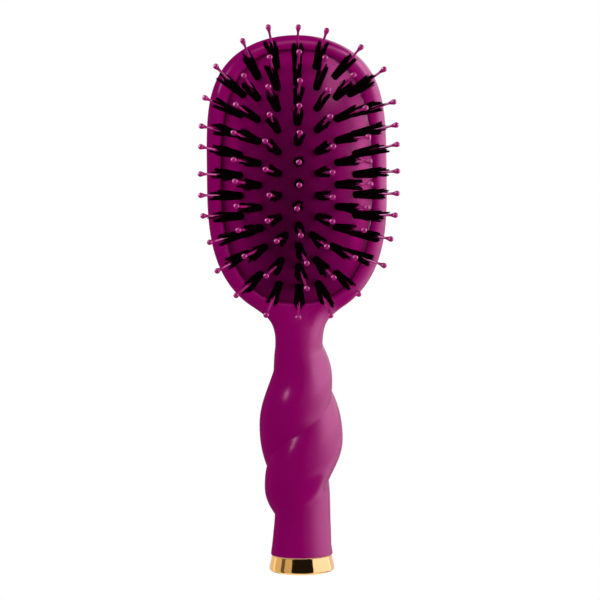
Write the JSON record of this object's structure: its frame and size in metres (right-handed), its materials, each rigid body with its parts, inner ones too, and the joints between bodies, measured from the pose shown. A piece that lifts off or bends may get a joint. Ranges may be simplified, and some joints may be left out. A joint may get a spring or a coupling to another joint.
{
  "type": "boar bristle grooming brush",
  "caption": "Oval cushion hair brush: bristle tufts with ball-tipped pins stand in a domed rubber pad on a plastic body whose handle twists to a gold end cap.",
  "frame": {"origin": "middle of the footprint, on the surface that the brush lies on with its back down", "axes": "+Z the way the bristles point, +Y from the handle to the top of the head, +X across the head"},
  "size_m": [0.0788, 0.2178, 0.0519],
  "materials": {
    "plum_plastic": "glossy moulded plum-magenta plastic",
    "plum_rubber": "satin plum rubber with a faint pebble grain",
    "inner_plastic": "plain black moulding",
    "pink_nylon": "smooth translucent pink-magenta nylon",
    "bristle": "natural black boar bristle",
    "steel_wire": "plain drawn wire",
    "gold_plate": "polished gold plating"
  },
  "bodies": {
    "root": {"brush_body": "plum_plastic", "cushion_frame": "inner_plastic", "end_cap": "gold_plate", "cap_plug": "inner_plastic"},
    "cushion": {"cushion_pad": "plum_rubber"},
    "column_left_3": {"pin_row_left_3": "pink_nylon", "tuft_row_left_3": "bristle", "anchor_wire_left_3": "steel_wire"},
    "column_left_2": {"pin_row_left_2": "pink_nylon", "tuft_row_left_2": "bristle", "anchor_wire_left_2": "steel_wire"},
    "column_left_1": {"pin_row_left_1": "pink_nylon", "tuft_row_left_1": "bristle", "anchor_wire_left_1": "steel_wire"},
    "column_centre": {"pin_row_centre": "pink_nylon", "tuft_row_centre": "bristle", "anchor_wire_centre": "steel_wire"},
    "column_right_1": {"pin_row_right_1": "pink_nylon", "tuft_row_right_1": "bristle", "anchor_wire_right_1": "steel_wire"},
    "column_right_2": {"pin_row_right_2": "pink_nylon", "tuft_row_right_2": "bristle", "anchor_wire_right_2": "steel_wire"},
    "column_right_3": {"pin_row_right_3": "pink_nylon", "tuft_row_right_3": "bristle", "anchor_wire_right_3": "steel_wire"}
  },
  "joints": [
    {"name": "cushion_press", "type": "slide", "parent": "root", "child": "cushion", "axis": [0, 0, 1], "range_m": [-0.0025, 0], "stiffness_N_per_m": 900, "deforming": ["cushion_pad"]},
    {"name": "column_left_3_rock", "type": "hinge", "parent": "cushion", "child": "column_left_3", "pos_m": [-0.0226, 0.0512, 0.019], "axis": [0, 1, 0], "range_deg": [-8, 8], "stiffness_Nm_per_rad": 0.06},
    {"name": "column_left_2_rock", "type": "hinge", "parent": "cushion", "child": "column_left_2", "pos_m": [-0.0158, 0.0512, 0.0225], "axis": [0, 1, 0], "range_deg": [-8, 8], "stiffness_Nm_per_rad": 0.06},
    {"name": "column_left_1_rock", "type": "hinge", "parent": "cushion", "child": "column_left_1", "pos_m": [-0.008, 0.0512, 0.025], "axis": [0, 1, 0], "range_deg": [-8, 8], "stiffness_Nm_per_rad": 0.06},
    {"name": "column_centre_rock", "type": "hinge", "parent": "cushion", "child": "column_centre", "pos_m": [0, 0.0512, 0.0255], "axis": [0, 1, 0], "range_deg": [-8, 8], "stiffness_Nm_per_rad": 0.06},
    {"name": "column_right_1_rock", "type": "hinge", "parent": "cushion", "child": "column_right_1", "pos_m": [0.008, 0.0512, 0.025], "axis": [0, 1, 0], "range_deg": [-8, 8], "stiffness_Nm_per_rad": 0.06},
    {"name": "column_right_2_rock", "type": "hinge", "parent": "cushion", "child": "column_right_2", "pos_m": [0.0158, 0.0512, 0.0225], "axis": [0, 1, 0], "range_deg": [-8, 8], "stiffness_Nm_per_rad": 0.06},
    {"name": "column_right_3_rock", "type": "hinge", "parent": "cushion", "child": "column_right_3", "pos_m": [0.0226, 0.0512, 0.019], "axis": [0, 1, 0], "range_deg": [-8, 8], "stiffness_Nm_per_rad": 0.06}
  ]
}
